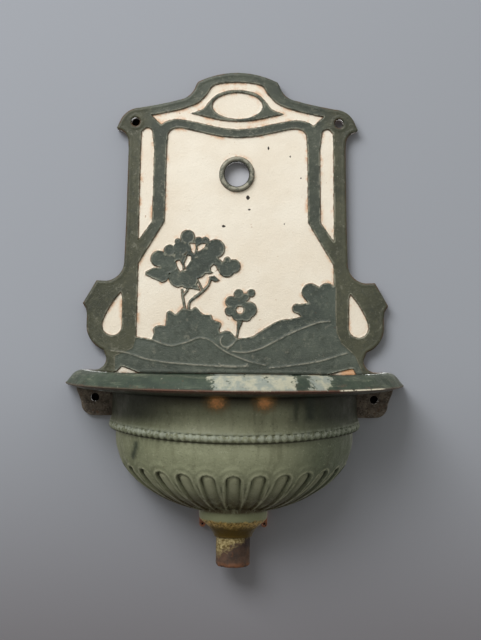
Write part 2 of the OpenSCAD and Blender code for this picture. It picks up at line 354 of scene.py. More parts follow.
# Foliage: lobes are (x, z, radius), and windows are gaps between the branches.
CROWN_LOBES = (
    (-60.6, 201.5, 9.2), (-73, 196, 4), (-47, 196, 6), (-38.5, 197, 5.2), (-25.5, 187.3, 11.9),
    (-10.9, 173, 4.6), (-11.4, 162.3, 10.8), (-3, 165.4, 9), (-83, 184.6, 7.6), (-96.5, 174, 10.4),
    (-92, 155, 9), (-84, 168, 12.5), (-69.3, 187.3, 9.4), (-72, 150.4, 12), (-59, 148.5, 12),
    (-49, 163.5, 13.8), (-35.1, 169.8, 14.4), (-47, 186, 11), (-36, 178, 10), (-66, 170, 9),
    (-24, 168, 7.5), (-71.4, 176.5, 7), (-56, 178, 7), (-58, 190, 8))
CROWN_WINDOWS = (
    [(-57.6, 193.4), (-51.4, 193), (-50.6, 188), (-52.4, 181), (-55.4, 184)],
    [(-48.2, 190), (-44, 192.8), (-38.3, 193.2), (-39.5, 189), (-44.5, 185), (-48, 183.8)],
    [(-60.4, 178.6), (-56.1, 177.3), (-56.4, 172.2), (-60.6, 166), (-63.4, 162.8), (-64.2, 168.4)],
    [(-75, 171), (-70.6, 172.4), (-67, 166), (-66.4, 160.9), (-69.6, 158.2), (-73.2, 164.7)],
    [(-31.2, 163.8), (-28, 167), (-25, 165.4), (-23.4, 160.8), (-27, 157.2), (-31.2, 159.4)])
CROWN_PARTS = (
    [(-112.9, 158), (-113.4, 153.8), (-106, 150), (-92.4, 144), (-88, 145), (-83, 150), (-88, 162),
     (-103, 163)],
    [(-57, 137), (-44, 134.6), (-47, 141), (-53, 145)],
    [(-34, 152.5), (-26.5, 153.5), (-19.8, 147.5), (-26, 145.4), (-33, 149)],
    [(-64.5, 108), (-61, 109), (-64.2, 126), (-65.5, 137), (-68.8, 137), (-67.3, 124)],
    [(-65.4, 126), (-58.8, 134.5), (-58, 138), (-60.5, 138), (-66, 130)],
    curve([(-59.8, 111), (-60, 117), (-57.4, 123), (-49.5, 129.8), (-41, 136.8), (-35.5, 143),
           (-33.2, 149.5)], 3)
    + curve([(-30, 149.5), (-32.4, 141.5), (-38.3, 134), (-47, 126.8), (-54.4, 121), (-56.6, 116.5),
             (-56.4, 111)], 3),
    [(-42, 133), (-44.6, 139), (-49.5, 149), (-47.4, 149.6), (-42.6, 141), (-40, 134.6)])
SAPLING_LOBES = (
    (3.8, 131, 6.2), (19.4, 132.3, 5.2), (12.4, 127, 5.4), (-5.6, 121, 7.5), (-6.8, 109.6, 6.6),
    (4.4, 118.5, 10.4), (16.9, 111.4, 10.2), (4.5, 106, 9.6), (13, 104.8, 8.3))
SAPLING_TRUNK = [(1.8, 97), (9.6, 97), (5, 86), (3, 74), (0.6, 74), (2, 86)]

# Thin raised lines that separate the fields and the banks.
LAND_LINES = (
    curve([(-28.5, 71), (-17.3, 62.3), (-4.8, 55.4), (20.3, 46), (37.8, 42.3)]),
    curve([(-3.5, 59), (14, 58.3), (32.8, 63.5), (45.3, 69.8), (70.3, 82.9), (89, 91), (105.3, 96.6),
           (118, 97.9)]),
    curve([(43, 39), (58, 40.4), (95.5, 46), (114.5, 50.4), (139.5, 58.5)]),
    curve([(-154.8, 58.5), (-137, 56.6), (-123.3, 52.3), (-104.5, 47.3), (-73, 43.5), (-4.5, 39.8),
           (16.8, 41)]),
    curve([(-123.8, 76), (-105, 72.9), (-92.5, 68.5), (-80, 65.4), (-67.5, 67.9), (-55, 72.3),
           (-46, 75.4), (-37, 74.8), (-28.5, 71)]),
    curve([(-10, 62.3), (-4, 67), (2.5, 74.8)]),
    curve([(-20, 43.8), (-13.8, 41.2), (11.5, 41), (15.3, 43.5)]),
    circle(-11, 71.8, 7.6, 20)[7:19])
# Chips in the cream paint as (x, z, half width, half height).
PAINT_CHIPS = (
    (39.1, 313.5, 1.0, 2.0), (14.1, 251.6, 2.0, 2.4), (15.9, 236.6, 1.6, 1.0), (-15.9, 215.6, 2.2, 1.3),
    (80, 276.6, 0.9, 0.9), (66.4, 303.5, 0.9, 1.2), (-3, 292, 0.6, 0.6), (60, 219, 0.7, 1.1))


def union_of_lobes(p, lobes):
    best = np.full(len(p), -1e9)
    for cx, cz, r in lobes:
        best = np.maximum(best, depth_in_circle(p, cx, cz, r))
    return best


def trees_depth(p):
    """Signed distance to the two trees, positive inside."""
    d = union_of_lobes(p, CROWN_LOBES)
    for window in CROWN_WINDOWS:
        d = np.minimum(d, -depth_in(p, window))
    for part in CROWN_PARTS:
        d = np.maximum(d, depth_in(p, part))
    sapling = np.minimum(union_of_lobes(p, SAPLING_LOBES), -depth_in_circle(p, 5.6, 111, 4.4))
    return np.maximum(d, np.maximum(sapling, depth_in(p, SAPLING_TRUNK)))


def cream_depth(p, trees):
    """Signed distance to all the sunk cream fields, positive inside them."""
    q = np.column_stack([np.abs(p[:, 0]), p[:, 1]])
    oval = (1 - np.hypot(p[:, 0] / 31, (p[:, 1] - 365.8) / 16)) * 20
    band = np.maximum(np.minimum(depth_in(p, TOP_BAND), -depth_in(p, EYE)), oval)
    main = np.minimum(depth_in(p, MAIN_PANEL), -trees)
    main = np.minimum(main, -depth_in_circle(p, 0, TAP_Z, TAP_RING_R))
    cream = np.maximum(np.maximum(band, main), depth_in(q, SIDE_STRIP))
    cream = np.maximum(cream, depth_in(q, TEARDROP))
    for corner in FOOT_CORNERS:
        cream = np.maximum(cream, depth_in(p, corner))
    return cream


def solid_depth(p):
    """Signed distance to the plate's edge and holes, positive in the metal."""
    d = depth_in(p, PLATE_OUTLINE)
    d = np.minimum(d, -depth_in_circle(p, 0, TAP_Z, TAP_R + 2))
    for cx, cz in PLATE_HOLES:
        d = np.minimum(d, -depth_in_circle(p, cx, cz, SCREW_R))
    return d


def plate_fields(p):
    """Relief height above the cream panels, and the distances that the paint follows."""
    trees = trees_depth(p)
    paint = -cream_depth(p, trees)
    rim = solid_depth(p)
    land = np.maximum(depth_in(p, LAND), trees)
    lines = np.min([path_distance(p, line) for line in LAND_LINES], axis=0)
    chips = np.min([np.hypot((p[:, 0] - x) / a, (p[:, 1] - z) / b) for x, z, a, b in PAINT_CHIPS],
                   axis=0)
    p3 = np.column_stack([p[:, 0], np.zeros(len(p)), p[:, 1]])
    level = RIB_H - 0.75 * ramp(land + 0.4, 1.6)
    relief = level * ramp(paint + 0.35, 1.5)
    in_land = ramp(land + 1.0, 2.0)
    relief += in_land * 0.55 * bump_at(paint, 1.1, 0.8)
    relief += 0.45 * in_land * ramp(paint - 2, 9) * ramp(100 - p[:, 1], 25)
    relief += (1 - in_land) * 0.22 * bump_at(paint, 1.6, 1.0)
    relief += 0.65 * bump_at(lines, 0, 1.1) * ramp(paint, 1.5)
    for cx, cz in PLATE_HOLES:
        relief += 0.9 * bump_at(np.hypot(p[:, 0] - cx, p[:, 1] - cz), 7.4, 1.6)
    relief += 0.12 * rough3(p3, 22, 3) + 0.05 * rough3(p3, 5, 7, 2)
    edge = np.clip(rim / 2.2, 0, 1)
    relief -= 2.0 * (1 - np.sqrt(np.clip(1 - (1 - edge) ** 2, 0, 1)))
    relief += 0.35 * bump_at(rim, 3.4, 1.3) * ramp(paint, 2)
    relief = np.minimum(relief, RIB_H + 0.4)
    return relief, {"paint": paint, "rim": rim, "land": land, "line": lines, "chip": chips}


# ---------------------------------------------------------------- back plate: mesh

def contour_grid(step, x0, x1, z0, z1, depth):
    """Plane mesh of the region where depth is positive: whole cells, and clipped ones on its edge."""
    nx, nz = int((x1 - x0) / step) + 1, int((z1 - z0) / step) + 1
    gx, gz = np.meshgrid(x0 + step * np.arange(nx), z0 + step * np.arange(nz), indexing="ij")
    grid = np.column_stack([gx.ravel(), gz.ravel()])
    d = depth(grid)
    # A grid point that lies almost on the edge would make slivers, so it counts as on it.
    d = np.where(np.abs(d) < 0.06 * step, 0.06 * step, d)
    keep = d > 0
    number = np.full(len(grid), -1)
    number[keep] = np.arange(keep.sum())
    points = [tuple(q) for q in grid[keep]]
    faces, crossing = [], {}

    def cut(a, b):
        key = (min(a, b), max(a, b))
        if key not in crossing:
            t = d[key[0]] / (d[key[0]] - d[key[1]])
            crossing[key] = len(points)
            points.append(tuple(grid[key[0]] + t * (grid[key[1]] - grid[key[0]])))
        return crossing[key]

    index = np.arange(nx * nz).reshape(nx, nz)
    corners = [index[:-1, :-1], index[1:, :-1], index[1:, 1:], index[:-1, 1:]]
    cells = np.stack(corners, axis=-1).reshape(-1, 4)
    count = keep[cells].sum(axis=1)
    for cell in number[cells[count == 4]]:
        faces.append(tuple(int(i) for i in cell))
    for cell in cells[(count > 0) & (count < 4)]:
        loop = []
        for a, b in zip(cell, np.roll(cell, -1)):
            if keep[a]:
                loop.append(int(number[a]))
            if keep[a] != keep[b]:
                loop.append(cut(int(a), int(b)))
        if len(loop) > 2:
            faces.append(tuple(loop))
    return np.array(points), faces


def edge_loops(faces):
    """The open edges of a face list, joined into closed loops that follow the faces' direction."""
    edges = set()
    for f in faces:
        for a, b in zip(f, f[1:] + f[:1]):
            if (b, a) in edges:
                edges.remove((b, a))
            else:
                edges.add((a, b))
    following = dict(edges)
    loops = []
    while following:
        start, nxt = following.popitem()
        loop = [start]
        while nxt != start:
            loop.append(nxt)
            nxt = following.pop(nxt)
        loops.append(loop)
    return sorted(loops, key=len, reverse=True)


def on_wall(outline, y=0.0):
    """An outline in the wall's plane as points at this depth."""
    return [(x, y, z) for x, z in outline]


def close_back(shell, outer, tap, screws):
    """The plate's back: its foot on the wall, a hollow, and a boss round the tap hole."""
    hollow = both_sides(
        [(0, 44), (152, 44), (153, 62), (172, 74), (175, 112), (166, 136), (146, 142),
         (131, 168), (128, 224), (126, 326), (110, 335), (109, 355), (70, 363), (46, 378)]
        + arc(0, 296, 102, 65, 90, 6))
    mouth = shell.add(on_wall(hollow))
    floor = shell.add(on_wall([(x * 0.992, 44 + (z - 44) * 0.994 + 1) for x, z in hollow], -HOLLOW_D))
    shell.strip(mouth, floor, closed=True)
    boss_mouth = shell.add(on_wall(circle(0, TAP_Z, 26)))
    boss_foot = shell.add(on_wall(circle(0, TAP_Z, 27), -HOLLOW_D))
    shell.strip(boss_foot, boss_mouth, closed=True)
    shell.fill([outer, mouth] + screws)
    shell.fill([floor, boss_foot])
    shell.fill([boss_mouth, tap])


def build_plate(material):
    """Relief plate: a fine grid in front, its edges carried back to the wall, and a hollow back."""
    plane, faces = contour_grid(GRID_PITCH, *GRID_SPAN, solid_depth)
    relief, fields = plate_fields(plane)
    shell = Shell()
    shell.add(np.column_stack([plane[:, 0], PANEL_Y - relief, plane[:, 1]]))
    shell.faces = faces
    back_loops = []
    for loop in edge_loops(faces):
        rows = [loop]
        for y in (-8.5, -6, -3, -0.4, 0.0):
            rows.append(shell.add([(shell.verts[i][0], y, shell.verts[i][2]) for i in loop]))
        shell.rows(rows, closed=True)
        back_loops.append(rows[-1])
    outer, holes = back_loops[0], back_loops[1:]
    tap = min(holes, key=lambda loop: abs(shell.verts[loop[0]][0]))
    close_back(shell, outer, tap, [loop for loop in holes if loop is not tap])
    attributes = {}
    for key, values in fields.items():
        behind = 3.0 if key in ("paint", "rim") else FAR
        attributes[key] = np.concatenate([values, np.full(len(shell.verts) - len(values), behind)])
    return make_piece("back_plate_relief", shell.points(), shell.faces, material, attributes)


def revolve(profile, n, cy=0.0):
    """The closed profile of (radius, height) points turned about an upright axis at y = cy."""
    shell = Shell()
    turns = [2 * math.pi * k / n for k in range(n)]
    rows = [shell.add([(r * math.cos(a), cy + r * math.sin(a), z) for a in turns]) for r, z in profile]
    shell.rows(rows + rows[:1], closed=True)
    return shell


def build_tap_ring(material):
    """The round boss that the tap screws through, turned about the Y axis."""
    profile = ([(TAP_R, FACE_GAP), (TAP_R, 11.2), (TAP_R + 0.5, 12.6), (TAP_R + 1.6, 14.6)]
               + arc(19.0, 13.9, 1.9, 120, 20, 6)
               + [(21.6, 13.0), (TAP_RING_R, 11.5), (22.4, 9.5), (22.4, FACE_GAP)])
    shell = revolve(profile, 120)
    p = shell.points()
    p = np.column_stack([p[:, 0], -p[:, 2], p[:, 1] + TAP_Z])
    p += 0.12 * np.column_stack([rough3(p, 6, 11), rough3(p, 6, 12), rough3(p, 6, 13)])
    p[:, 1] = np.minimum(p[:, 1], -FACE_GAP)
    radius = np.hypot(p[:, 0], p[:, 2] - TAP_Z)
    crown = ramp(-p[:, 1] - 12.5, 2.0)
    paint = np.where(radius < TAP_R + 0.8, 4.0, 1.2 + 2.5 * (1 - crown))
    attributes = {"paint": paint, "rim": np.full(len(p), 6.0), "land": np.full(len(p), -20.0),
                  "line": 1.3 * (1 - crown), "chip": np.full(len(p), FAR)}
    return make_piece("tap_boss", p, shell.faces, material, attributes, 50)


def shrunk(loop, amount):
    """A closed loop moved inwards by the amount."""
    p = np.array(loop, float)
    ahead, behind = np.roll(p, -1, 0), np.roll(p, 1, 0)
    t = ahead - behind
    t /= np.maximum(np.hypot(t[:, 0], t[:, 1]), 1e-9)[:, None]
    area = 0.5 * np.sum(p[:, 0] * ahead[:, 1] - ahead[:, 0] * p[:, 1])
    return p + np.column_stack([-t[:, 1], t[:, 0]]) * np.sign(area) * amount


def slab(outline, holes, y_back, depth, bevel=0.8, sink=0.0):
    """A flat slab with softened front edges and holes, from outlines in the wall's plane.

    Sink widens the holes at the back, for countersunk heads.
    """
    shell = Shell()
    y_front = y_back - depth
    fronts, backs = [], []
    for k, loop in enumerate([outline] + list(holes)):
        side = 1 if k == 0 else -1
        steps = [(0, y_back), (0, y_front + bevel), (0.3 * bevel, y_front + 0.3 * bevel), (bevel, y_front)]
        if k > 0 and sink:
            steps = [(sink, y_back), (0, y_back - sink), (0, y_front)]
        rows = [shell.add(on_wall(shrunk(loop, side * inset), y)) for inset, y in steps]
        shell.rows(rows, closed=True)
        backs.append(rows[0])
        fronts.append(rows[-1])
    shell.fill(fronts)
    shell.fill(backs)
    return shell


def build_plate_lugs(material):
    """Two lugs below the plate's foot, countersunk for the joining bolts."""
    shell = Shell()
    for side in (-1, 1):
        x0, x1 = side * BOLT_X - LUG_W / 2, side * BOLT_X + LUG_W / 2
        outline = [(x0, RIM_Z), (x0, LUG_FOOT), (x1, LUG_FOOT), (x1, RIM_Z)]
        shell.merge(slab(outline, [circle(side * BOLT_X, BOLT_Z, BOLT_HOLE_R, 24)], 0.0, BACK_T, 0.6, 5.0))
    return make_piece("plate_lugs", shell.points(), shell.faces, material)


# ---------------------------------------------------------------- basin

def rounded_bottom(r, depth, t):
    """Point of a bowl's rounded bottom at a share t of its full depth, as (radius, height)."""
    return r * math.sqrt(1 - t ** BOWL_POWER), BOWL_Z - depth * t


def bottom_points(r, depth, reach, n):
    """Rounded bottom from its equator down to the share reach of its depth."""
    angles = np.linspace(0, 90, n)
    return [rounded_bottom(r, depth, reach * math.sin(math.radians(a))) for a in angles]


def lengths_along(points):
    """Distance along an open curve at each of its points."""
    return np.concatenate([[0], np.cumsum(np.hypot(*np.diff(points, axis=0).T))])


def resampled(points, pitch):
    """The same open curve with points at an even pitch."""
    p = np.array(points)
    along = lengths_along(p)
    s = np.linspace(0, along[-1], int(round(along[-1] / pitch)) + 1)
    return list(zip(np.interp(s, along, p[:, 0]), np.interp(s, along, p[:, 1])))


def outer_profile():
    """Outer profile of the bowl from the crest to the bottom as (radius, height)."""
    ovolo = curve([(CREST_R, RIM_Z), (CREST_R + 8, RIM_Z - 2.8), (LIP_R - 5, LIP_Z + 4.1),
                   (LIP_R - 0.7, LIP_Z + 0.7)], 5)
    lip = [(LIP_R - 0.2, LIP_Z), (LIP_R - 0.7, LIP_Z - 0.6), (LIP_R - 2.4, LIP_Z - 1.2)]
    soffit = curve([(LIP_R - 14.5, 14.1), (175.5, 11.3), (159, 9.6), (WALL_R + 0.8, 7.4), (WALL_R, 3)], 3)
    wall = [(WALL_R, z) for z in np.linspace(0, -20, 7)]
    flare = curve([(WALL_R + 0.3, -24.5), (WALL_R + 1.1, -28.5), (WALL_R + 2.3, -32),
                   (WALL_R + 2.2, -33.6)], 4)
    band = [(WALL_R + 1.8, -34.4)] + arc(WALL_R - 3, BEAD_Z, 4.4, 62, -70, 12)
    groove = [(148.9, BEAD_Z - 5.2), (BOWL_R + 0.1, BEAD_Z - 6.0), (BOWL_R, BEAD_Z - 8)]
    dense = bottom_points(BOWL_R, BOWL_DEPTH, 0.955, 400)
    shoulder = [(BOWL_R, -50)] + [q for q in resampled(dense, 3.2) if q[1] > -64]
    bottom = [q for q in resampled(dense, 1.55) if q[1] < -65]
    return np.array(ovolo + lip + soffit + wall + flare + band + groove + shoulder + bottom)


def profile_normals(profile):
    t = np.gradient(profile, axis=0)
    t /= np.hypot(t[:, 0], t[:, 1])[:, None]
    return np.column_stack([-t[:, 1], t[:, 0]])


def bead_push(angle, r, z):
    """How far the beads stand out of the plain band at radius r and height z."""
    step = math.pi / BEADS
    du = BEAD_R * ((angle / step) % 1 - 0.5) * step
    ball = np.sqrt(np.clip(BEAD_BALL_R ** 2 - du ** 2 - (z - BEAD_Z) ** 2, 0, None))
    x = BEAD_R * np.cos(angle)
    worn = 1 - 0.45 * ramp(x + 70, 25) * ramp(40 - x, 25)
    return worn * np.where(ball > 0, np.clip(BEAD_R + ball - r, 0, None), 0)


def flute_depth(angle, r, along):
    """Distance inside the nearest flute's arch at the given distance below the arches' tops."""
    step = math.pi / (GADROONS + 1)
    nearest = np.clip(np.round(angle / step), 1, GADROONS)
    u = np.abs(r * (angle - nearest * step))
    share = min(0.60 + 0.13 * (140 - r) / 34, 0.80)
    half_width = r * step / 2 * share
    arch = ARCH_R - np.hypot(u, along - ARCH_R)
    return np.where(along < ARCH_R, arch, half_width - u)


def flute_push(d, along):
    """Relief of the flutes: a sunk flute, a raised fillet round it, then a soft roll."""
    sunk = -2.6 * ramp(d + 0.3, 1.8) + 2.5 * ramp(d - 1.0, 6.0)
    fillet = 1.5 * ramp(d + 6.8, 5.2) * (1 - ramp(d, 1.1))
    line = -0.9 * bump_at(d, -4.6, 1.2) * ramp(along - 14, 14)
    roll = 1.0 * bump_at(d, -7.8, 3.4)
    fading = 1 - 0.5 * ramp(along - 26, 30)
    return (sunk + fillet + line) * fading + roll * (1 - 0.4 * ramp(along - 70, 30))


def back_depth(z):
    """Y depth of the flat back's inner face, which grows into the ledge near the top."""
    return BACK_T + (LEDGE_T - BACK_T) * min(max((z + 9) / 9, 0), 1)


def crest_lift(p):
    """How far points of the rim are raised, from the lip and the mouth up to the crest."""
    in_front = ramp(-p[:, 1] - LEDGE_T - 1, 14)
    return CREST_RISE * in_front * ramp(p[:, 2] - LIP_Z, RIM_Z - LIP_Z)


def outside_push(p, r, z):
    """Unevenness of the cast surface: all over, or only inwards where it must not outgrow the CAD."""
    if z > RIM_Z - 1:
        return -0.12 * np.abs(rough3(p, 7, 35, 2))
    if z > LIP_Z - 1 and r > LIP_R - 3:
        return -0.1 - 0.45 * np.abs(rough3(p, 9, 31, 3))
    return 0.16 * rough3(p, 26, 21) + 0.10 * rough3(p, 6, 25, 2)


def bowl_outside(shell):
    """Rows of the outside from the crest down, with the depth in a flute at each of their points."""
    profile = outer_profile()
    angle = np.linspace(0, math.pi, 10 * BEADS + 1)
    cos, sin = np.cos(angle), np.sin(angle)
    along = lengths_along(profile)
    low = profile[:, 1] < FLUTED_Z
    arch_top = np.interp(-ARCH_Z, -profile[low, 1], along[low])
    rows, flutes = [], []
    for (r, z), normal, s in zip(profile, profile_normals(profile), along):
        p = np.column_stack([r * cos, -r * sin, np.full(len(angle), z)])
        push = outside_push(p, r, z)
        flute = np.full(len(angle), NO_FLUTE)
        if abs(z - BEAD_Z) < 6.5 and r > BOWL_R + 0.5:
            push += bead_push(angle, r, z)
        if z < FLUTED_Z:
            flute = flute_depth(angle, r, s - arch_top)
            push += flute_push(flute, s - arch_top)
        radius = r + normal[0] * push
        sweep = SWEEP * cos ** 2 * np.interp(z, [-130, ARCH_Z, -44, -33, 6], [0, 0.5, 1, 1, 0])
        height = z + normal[1] * push + sweep + crest_lift(p)
        rows.append(shell.add(np.column_stack([radius * cos, -radius * sin, height])))
        flutes.append(flute)
    shell.rows(rows)
    return rows, np.concatenate(flutes)


def bowl_inside(shell):
    """Rows of the inside from the rim to the floor, which end on the flat back's inner face."""
    inner_r = WALL_R - BASIN_T
    mouth = curve([(CREST_R - 6.5, RIM_Z), (CREST_R - 9.5, 27.6), (CREST_R - 16, 24.5), (CREST_R - 29, 19),
                   (WALL_R - 1, 15), (inner_r, 8), (inner_r, 0)], 3)
    sides = [(inner_r, -9), (inner_r, -19), (inner_r, -29), (inner_r, -39), (145.8, -45), (143, -51)]
    bottom = bottom_points(BOWL_R - BASIN_T, BOWL_DEPTH - BASIN_T, 0.93, 24)
    rows = []
    for r, z in mouth + sides + bottom:
        lowest = math.asin(back_depth(z) / r)
        a = np.linspace(lowest, math.pi - lowest, 181)
        p = np.column_stack([r * np.cos(a), -r * np.sin(a), np.full(len(a), z)])
        wobble = 0.22 * rough3(p, 18, 41)
        wobble[[0, -1]] = 0
        p[:, 0] += wobble * np.cos(a)
        p[:, 1] -= wobble * np.sin(a)
        p[:, 2] += crest_lift(p)
        rows.append(shell.add(p))
    shell.rows(rows)
    return rows


def row_ends(rows):
    """A loop down one end of the rows and back up the other."""
    return [row[0] for row in rows] + [row[-1] for row in rows][::-1]


def bolt_rings(shell, y):
    """Edges of the two bolt holes at this depth, left and right."""
    return [shell.add([(x, y, z) for x, z in circle(side * BOLT_X, BOLT_Z, BOLT_HOLE_R, 24)])
            for side in (-1, 1)]


def bowl_back(shell, outer, inner):
    """Both faces of the flat back, with the ledge, the pockets for the plate's lugs and the level top."""
    depths = [back_depth(shell.verts[row[0]][2]) for row in inner]
    last_ledge = max(k for k, d in enumerate(depths) if d == LEDGE_T)
    first_back = min(k for k, d in enumerate(depths) if d == BACK_T)
    shell.strip(*[[inner[k][0], inner[k][-1]] for k in (last_ledge, first_back)])
    shell.fill([row_ends(inner[first_back:])])
    bolts_front = bolt_rings(shell, -LEDGE_T)
    bolts_back = bolt_rings(shell, -POCKET_T)
    shell.fill([row_ends(inner[:last_ledge + 1])] + bolts_front)
    notches_top, notches_back = [], []
    for side, front, back in zip((-1, 1), bolts_front, bolts_back):
        shell.strip(front, back, closed=True)
        x0 = side * BOLT_X - LUG_W / 2 - POCKET_GAP
        x1 = side * BOLT_X + LUG_W / 2 + POCKET_GAP
        foot = LUG_FOOT - POCKET_GAP
        corners = [(x0, RIM_Z), (x0, foot), (x1, foot), (x1, RIM_Z)]
        deep = shell.add([(x, -POCKET_T, z) for x, z in corners])
        mouth = shell.add([(x, 0, z) for x, z in corners])
        shell.strip(deep, mouth)
        shell.fill([deep, back])
        notches_top += [mouth[0], deep[0], deep[3], mouth[3]]
        notches_back += mouth
    shell.fill([outer[0] + notches_top, inner[0]], level=True)
    shell.fill([notches_back + row_ends(outer)])


def bowl_floor(shell, outer, inner):
    """Floor round the strainer's seat, and the level underside that the neck hides."""
    flat = shell.verts[outer[-1][0]][2]
    seat = [(x, DRAIN_Y + y) for x, y in circle(0, 0, SEAT_R + 1)]
    seat_top = shell.add([(x, y, shell.verts[inner[-1][0]][2]) for x, y in seat])
    seat_low = shell.add([(x, y, flat) for x, y in seat])
    shell.fill([inner[-1], seat_top], level=True)
    shell.strip(seat_top, seat_low, closed=True)
    for i in outer[-1]:
        shell.verts[i] = (*shell.verts[i][:2], flat)
    shell.fill([outer[-1], seat_low], level=True)


def build_bowl(material):
    """Half-round bowl with its rim, beads and flutes, closed by a flat back."""
    shell = Shell()
    outer, flutes = bowl_outside(shell)
    outer_count = len(shell.verts)
    inner = bowl_inside(shell)
    bowl_back(shell, outer, inner)
    bowl_floor(shell, outer, inner)
    extra = len(shell.verts) - outer_count
    attributes = {"flute": np.concatenate([flutes, np.full(extra, NO_FLUTE)]),
                  "outer": np.concatenate([np.ones(outer_count), np.zeros(extra)])}
    return make_piece("basin_bowl", shell.points(), shell.faces, material, attributes, 42)


def distance_from_drain(p):
    return np.hypot(p[:, 0], p[:, 1] - DRAIN_Y)


def push_from_drain(p, push):
    """Moves points outwards from the drain's axis."""
    radius = distance_from_drain(p)
    p[:, 0] += push * p[:, 0] / radius
    p[:, 1] += push * (p[:, 1] - DRAIN_Y) / radius


def build_neck(material):
    """Bell-shaped neck with the pipe socket, throat and strainer seat, cut flat at the wall."""
    seat_edge = SEAT_R + 2.5
    top = [(SEAT_R, FLOOR_Z + 0.2), (seat_edge, FLOOR_Z + 0.2), (seat_edge, FLOOR_Z - 0.4),
           (42, FLOOR_Z - 0.4)]
    bell = curve([(42, NECK_END + 38), (42, NECK_END + 25), (39.6, NECK_END + 20), (33.8, NECK_END + 15),
                  (28.4, NECK_END + 9.5), (24.4, NECK_END + 3.8), (23.6, NECK_END + 0.6)], 5)
    socket_r = PIPE_R - 0.5
    bore = [(23.0, NECK_END), (socket_r, NECK_END), (socket_r, SOCKET_Z), (THROAT_R, SOCKET_Z),
            (THROAT_R, SEAT_Z), (SEAT_R, SEAT_Z)]
    shell = revolve(top + bell + bore, 144, DRAIN_Y)
    p = shell.points()
    outside = ramp(distance_from_drain(p) - 23.2, 0.5) * ramp(FLOOR_Z - 1 - p[:, 2], 2)
    push_from_drain(p, outside * (0.3 * rough3(p, 9, 51) + 0.12 * rough3(p, 3, 53, 2)))
    p[:, 1] = np.minimum(p[:, 1], -FACE_GAP)
    attributes = {"flute": np.full(len(p), NO_FLUTE), "outer": np.ones(len(p))}
    return make_piece("basin_neck", p, shell.faces, material, attributes)


def mirrored_slabs(outline, hole, y_back, bevel):
    """A slab on the right with one hole (x, z, radius, sides), and the same on the left."""
    x, *rest = hole
    pair = slab(outline, [circle(x, *rest)], y_back, BACK_T, bevel)
    pair.merge(slab(flipped(outline), [circle(-x, *rest)], y_back, BACK_T, bevel))
    return pair


def build_ears(material):
    """The two ears with wall holes at the ends of the rim."""
    ear = ([(WALL_R - 6, 13.0), (193, 13.6), (198.8, 13.2), (197.4, 8), (194.6, 1), (192.4, -5)]
           + arc(176.8, -7.4, 15.2, 2, -90, 9) + [(168, -22.9), (WALL_R - 6, -22.4)])
    ears = mirrored_slabs(ear, (EAR_X, 0, SCREW_R, 36), -FACE_GAP, 1.4)
    return make_piece("basin_ears", ears.points(), ears.faces, material, {}, 30)


def build_neck_lugs(material):
    """The two small round-ended lugs beside the neck."""
    x, z, r = NECK_LUG_X, NECK_LUG_Z, NECK_LUG_R
    lug = [(x - r, z + 23.3)] + arc(x, z, r, 180, 360) + [(x + r, z + 23.3)]
    lugs = mirrored_slabs(lug, (x, z, 1.6, 16), -2 * FACE_GAP, 0.8)
    return make_piece("neck_lugs", lugs.points(), lugs.faces, material, {}, 30)


# ---------------------------------------------------------------- drain pipe

def build_pipe(material):
    """Pipe stub with a rust-eaten lower end."""
    bore = PIPE_R - 3.2
    sleeve = [(PIPE_R - 0.6, SOCKET_Z - 1), (PIPE_R - 0.6, NECK_END)]
    side = [(PIPE_R - 0.1, z) for z in np.linspace(NECK_END - 0.1, PIPE_END + 5, 28)]
    edge = [(PIPE_R - 2.6 * (1 - math.cos(a)), PIPE_END + 4.2 * (1 - math.sin(a)))
            for a in np.linspace(0.15, 1.57, 6)]
    inner = [(bore, z) for z in np.linspace(PIPE_END + 1, SOCKET_Z - 1, 20)]
    shell = revolve(sleeve + side + edge + inner, 120, DRAIN_Y)
    p = shell.points()
    below_neck = ramp(NECK_END - 0.3 - p[:, 2], 3)
    pits = 0.22 * rough3(p, 8, 61) + 0.2 * np.abs(rough3(p, 2.6, 63, 2))
    inwards = np.where(distance_from_drain(p) > PIPE_R - 1.8, -1.0, 0.6)
    push_from_drain(p, below_neck * np.abs(pits) * inwards)
    p[:, 2] += 0.8 * np.clip(rough3(p * [1, 1, 0], 7, 65), 0, None) * ramp(PIPE_END + 5 - p[:, 2], 5)
    return make_piece("drain_pipe_rusted", p, shell.faces, material, {}, 50)


# ---------------------------------------------------------------- materials

def linear(rgb):
    """sRGB values from 0 to 255 as linear colour."""
    shares = [v / 255 for v in rgb]
    return (*[v / 12.92 if v <= 0.04045 else ((v + 0.055) / 1.055) ** 2.4 for v in shares], 1.0)


